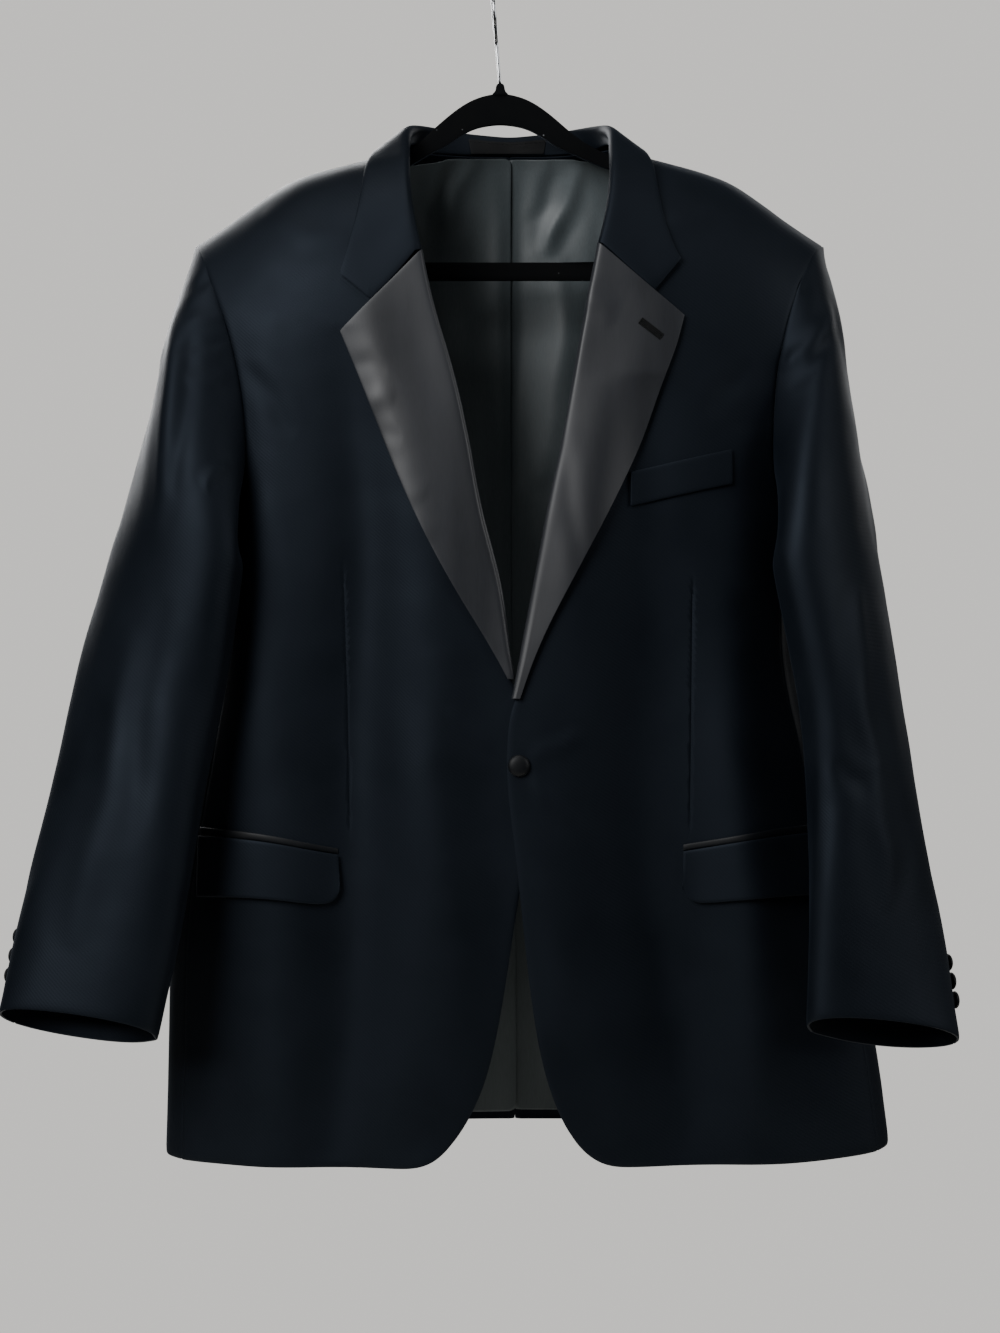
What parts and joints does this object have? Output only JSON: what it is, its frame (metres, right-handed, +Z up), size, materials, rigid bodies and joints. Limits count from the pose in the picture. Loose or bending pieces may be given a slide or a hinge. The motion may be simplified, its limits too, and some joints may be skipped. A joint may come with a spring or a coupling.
{
  "type": "tuxedo jacket on a hanger",
  "caption": "Single-breasted tuxedo jacket with notched satin lapels, flap pockets and a breast welt, buttoned and hanging open-necked on a slim velvet hanger.",
  "frame": {"origin": "inside of the hook's top, where a rail carries the hanger", "axes": "+Z up, +X to the wearer's left, -Y to the front of the jacket"},
  "size_m": [0.7747, 0.2303, 0.9907],
  "materials": {
    "wool": "matte midnight worsted wool",
    "satin": "charcoal silk satin",
    "lining": "grey satin lining",
    "velvet": "black flocked velvet over plastic",
    "steel": "polished steel wire"
  },
  "bodies": {
    "root": {"front_right": "wool", "front_left": "wool", "side_right": "wool", "side_left": "wool", "back_right": "wool", "back_left": "wool", "sleeve_top_right": "wool", "sleeve_top_left": "wool", "sleeve_under_right": "wool", "sleeve_under_left": "wool", "collar": "wool", "breast_welt": "wool", "pocket_flap_right": "wool", "pocket_flap_left": "wool", "lapel_right": "satin", "lapel_left": "satin", "pocket_jet_right": "satin", "pocket_jet_left": "satin", "button_front": "satin", "neck_label": "satin", "button_cuff_right_1": "satin", "button_cuff_right_2": "satin", "button_cuff_right_3": "satin", "button_cuff_left_1": "satin", "button_cuff_left_2": "satin", "button_cuff_left_3": "satin", "lining_back_right": "lining", "lining_back_left": "lining", "hanger": "velvet", "hanger_hook": "steel"}
  },
  "joints": []
}
